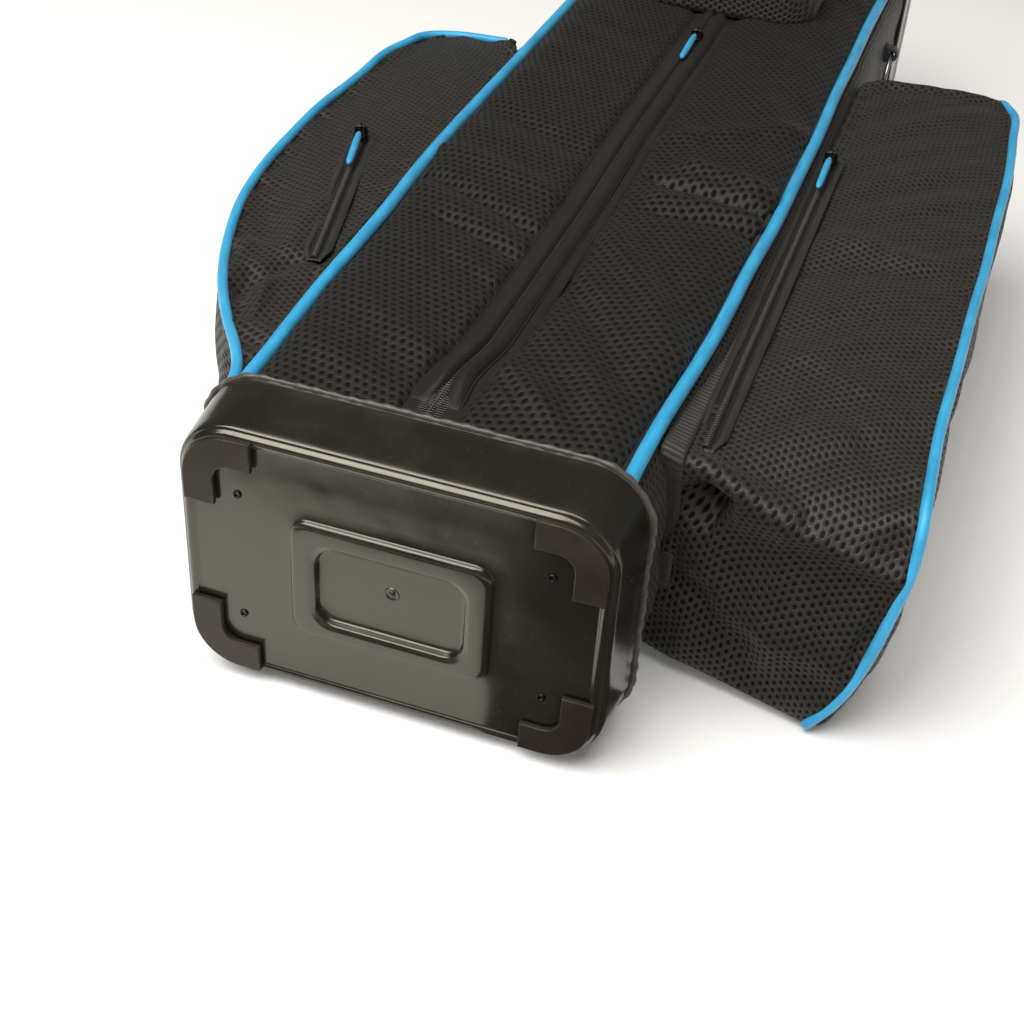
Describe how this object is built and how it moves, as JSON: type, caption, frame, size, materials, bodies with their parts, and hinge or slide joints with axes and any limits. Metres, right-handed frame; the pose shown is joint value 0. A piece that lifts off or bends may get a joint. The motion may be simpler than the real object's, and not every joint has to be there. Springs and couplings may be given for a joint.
{
  "type": "golf cart bag",
  "caption": "Golf cart bag lying on its back: moulded base, mesh body with blue piping, zipped pockets, divider top, handle, strap and towel ring.",
  "frame": {"origin": "bottom centre of the bounding box: the floor under the bag as it lies on its back", "axes": "+Y up the bag from the moulded base to the open club end, +X to the large pocket, +Z from the back to the zipped front"},
  "size_m": [0.4452, 0.8654, 0.1991],
  "materials": {
    "base_plastic": "glossy black moulded plastic",
    "foot_plastic": "satin black plastic",
    "divider_plastic": "satin black plastic",
    "mesh_fabric": "perforated black mesh",
    "plain_fabric": "plain black woven nylon",
    "webbing": "black woven webbing",
    "foam": "dark padded cloth on foam",
    "blue_trim": "sky blue piping and moulded pulls",
    "bright_steel": "bright plated steel",
    "dark_metal": "black lacquered metal"
  },
  "bodies": {
    "bag": {"base_tray": "base_plastic", "top_collar": "base_plastic", "foot_back_left": "foot_plastic", "foot_back_right": "foot_plastic", "foot_front_left": "foot_plastic", "foot_front_right": "foot_plastic", "top_divider": "divider_plastic", "side_panel_left": "mesh_fabric", "side_panel_right": "mesh_fabric", "front_panel_left": "mesh_fabric", "front_panel_right": "mesh_fabric", "right_pocket": "mesh_fabric", "left_pocket": "mesh_fabric", "upper_pocket": "mesh_fabric", "back_panel": "plain_fabric", "divider_sheet_left": "plain_fabric", "divider_sheet_right": "plain_fabric", "zip_flap_left": "plain_fabric", "zip_flap_right": "plain_fabric", "rim_binding": "webbing", "front_zip_tape": "webbing", "strap_tab_lower": "webbing", "strap_tab_upper": "webbing", "towel_tab": "webbing", "right_pocket_zip": "webbing", "left_pocket_zip": "webbing", "upper_pocket_zip": "webbing", "base_pad": "foam", "front_piping_left": "blue_trim", "front_piping_right": "blue_trim", "right_pocket_piping": "blue_trim", "left_pocket_piping": "blue_trim", "base_screw_back_left": "bright_steel", "base_screw_back_right": "bright_steel", "base_screw_front_left": "bright_steel", "base_screw_front_right": "bright_steel", "stay_rod_left": "bright_steel", "stay_rod_right": "bright_steel", "handle_pin_left": "bright_steel", "handle_pin_right": "bright_steel", "front_zip_coil": "dark_metal"},
    "front_zip_slider": {"front_zip_slider": "dark_metal"},
    "front_zip_pull": {"front_zip_pull": "blue_trim"},
    "right_pocket_zip_slider": {"right_pocket_zip_slider": "dark_metal"},
    "right_pocket_zip_pull": {"right_pocket_zip_pull": "blue_trim"},
    "left_pocket_zip_slider": {"left_pocket_zip_slider": "dark_metal"},
    "left_pocket_zip_pull": {"left_pocket_zip_pull": "blue_trim"},
    "upper_pocket_zip_slider": {"upper_pocket_zip_slider": "dark_metal"},
    "upper_pocket_zip_pull": {"upper_pocket_zip_pull": "blue_trim"},
    "lift_handle": {"lift_handle": "divider_plastic"},
    "shoulder_strap": {"strap_adjuster": "divider_plastic", "strap_webbing": "webbing", "strap_pad": "foam", "strap_ring_lower": "bright_steel", "strap_ring_upper": "bright_steel", "strap_hook_lower": "dark_metal", "strap_hook_upper": "dark_metal"},
    "towel_ring": {"towel_ring": "bright_steel"}
  },
  "joints": [
    {"name": "front_zip_slide", "type": "slide", "parent": "bag", "child": "front_zip_slider", "axis": [0, 1, 0], "range_m": [-0.48, 0]},
    {"name": "front_zip_pull_swing", "type": "hinge", "parent": "front_zip_slider", "child": "front_zip_pull", "pos_m": [-0.01536, 0.14575, 0.1605], "axis": [-1, 0, 0], "range_deg": [0, 150]},
    {"name": "right_pocket_zip_slide", "type": "slide", "parent": "bag", "child": "right_pocket_zip_slider", "axis": [0, 1, 0], "range_m": [-0.33, 0]},
    {"name": "right_pocket_zip_pull_swing", "type": "hinge", "parent": "right_pocket_zip_slider", "child": "right_pocket_zip_pull", "pos_m": [0.10864, 0.01075, 0.1482], "axis": [-1, 0, 0], "range_deg": [0, 150]},
    {"name": "left_pocket_zip_slide", "type": "slide", "parent": "bag", "child": "left_pocket_zip_slider", "axis": [-0.2351, 0.972, 0], "range_m": [-0.142, 0]},
    {"name": "left_pocket_zip_pull_swing", "type": "hinge", "parent": "left_pocket_zip_slider", "child": "left_pocket_zip_pull", "pos_m": [-0.17436, -0.09525, 0.1522], "axis": [-0.972, -0.2351, 0], "range_deg": [0, 150]},
    {"name": "upper_pocket_zip_slide", "type": "slide", "parent": "bag", "child": "upper_pocket_zip_slider", "axis": [1, 0, 0], "range_m": [-0.08, 0]},
    {"name": "upper_pocket_zip_pull_swing", "type": "hinge", "parent": "upper_pocket_zip_slider", "child": "upper_pocket_zip_pull", "pos_m": [0.02664, 0.31475, 0.1962], "axis": [0, 1, 0], "range_deg": [0, 150]},
    {"name": "lift_handle_swing", "type": "hinge", "parent": "bag", "child": "lift_handle", "pos_m": [-0.01536, 0.40075, 0.172], "axis": [-1, 0, 0], "range_deg": [0, 115]},
    {"name": "strap_swing", "type": "hinge", "parent": "bag", "child": "shoulder_strap", "pos_m": [-0.14236, 0.25575, 0.082], "axis": [0, 1, 0], "range_deg": [0, 96]},
    {"name": "towel_ring_swing", "type": "hinge", "parent": "bag", "child": "towel_ring", "pos_m": [0.11164, 0.31075, 0.108], "axis": [0, -1, 0], "range_deg": [0, 110]}
  ]
}
